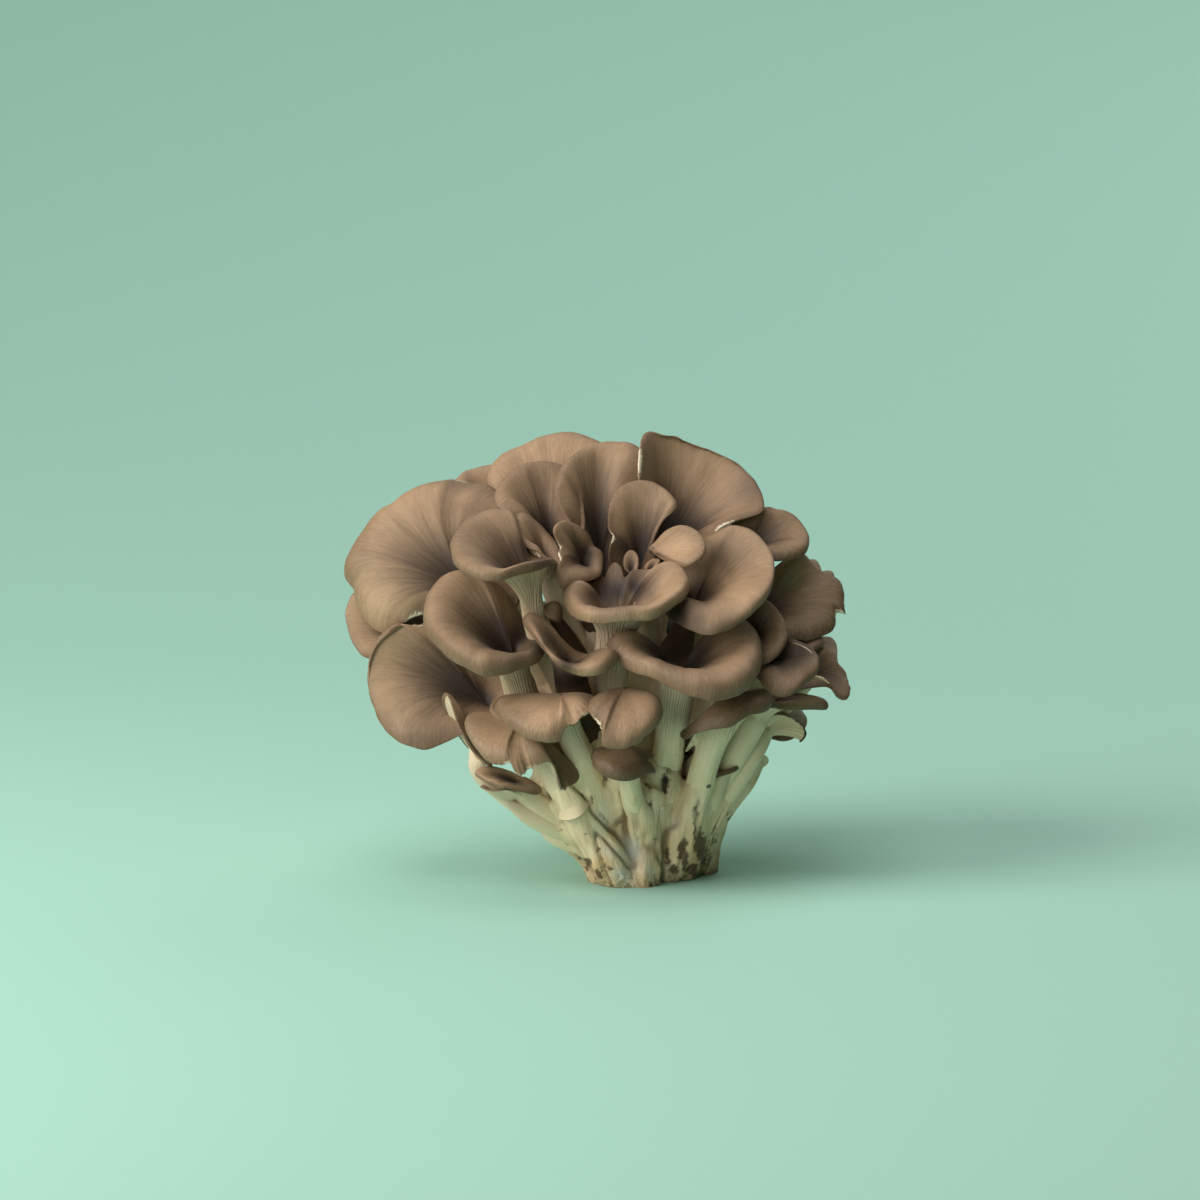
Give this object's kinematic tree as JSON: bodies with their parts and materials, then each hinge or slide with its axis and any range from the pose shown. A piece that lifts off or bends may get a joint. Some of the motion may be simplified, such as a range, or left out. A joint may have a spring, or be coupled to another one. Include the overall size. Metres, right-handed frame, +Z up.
{
  "type": "maitake mushroom",
  "caption": "Fresh clustered mushroom head: overlapping brown fan and funnel caps with pale gilled stems fused into one cut base, standing upright.",
  "frame": {"origin": "middle of the flat cut underside of the stem base", "axes": "+Z up out of the cut face; the front of the cluster, with the lowest rolled caps, faces -Y"},
  "size_m": [0.181, 0.1517, 0.1573],
  "materials": {
    "cap_skin": "satin",
    "cap_skin_dark": "satin",
    "stem_flesh": "matte"
  },
  "bodies": {
    "root": {"base": "stem_flesh", "base_left_branches": "stem_flesh", "base_right_branches": "stem_flesh", "front_centre_funnel": "cap_skin", "ruffled_heart": "cap_skin", "heart_spoon": "cap_skin", "heart_tongue": "cap_skin", "heart_bud_left": "cap_skin", "heart_bud_right": "cap_skin", "right_centre_ear": "cap_skin", "left_upper_funnel": "cap_skin", "left_lower_funnel": "cap_skin", "centre_left_wave": "cap_skin", "front_right_broad": "cap_skin", "front_wide_cap_left": "cap_skin", "front_wide_cap_right": "cap_skin", "front_small_cap": "cap_skin", "lower_left_drape": "cap_skin", "left_edge_lip": "cap_skin", "left_upright_flap": "cap_skin", "lower_left_shelf_upper": "cap_skin", "lower_left_shelf_lower": "cap_skin", "lowest_left_stub": "cap_skin", "left_collar_cup": "cap_skin", "right_lower_cap": "cap_skin_dark", "right_under_cap": "cap_skin_dark", "right_small_round": "cap_skin_dark", "right_curled_frond": "cap_skin_dark", "right_stub": "cap_skin_dark", "right_shaded_cap": "cap_skin_dark", "far_right_fan": "cap_skin_dark", "upper_right_cap": "cap_skin", "right_round_cap": "cap_skin_dark", "right_dark_frill": "cap_skin_dark", "far_right_tongue": "cap_skin_dark", "big_left_fan": "cap_skin", "left_under_fan": "cap_skin", "left_lower_fan": "cap_skin", "left_back_fan": "cap_skin", "top_left_fan": "cap_skin", "upper_left_fan": "cap_skin", "upper_centre_fan": "cap_skin", "top_right_fan": "cap_skin", "small_knob": "cap_skin", "folded_strip": "cap_skin", "back_left_upper": "cap_skin", "back_left_lower": "cap_skin", "back_left_low": "cap_skin", "back_crown_left": "cap_skin", "back_crown": "cap_skin", "back_crown_right": "cap_skin", "back_right_upper": "cap_skin", "back_right_mid": "cap_skin", "back_right_low": "cap_skin", "back_middle_left": "cap_skin", "back_middle": "cap_skin", "back_low_left": "cap_skin", "back_low_right": "cap_skin"}
  },
  "joints": []
}
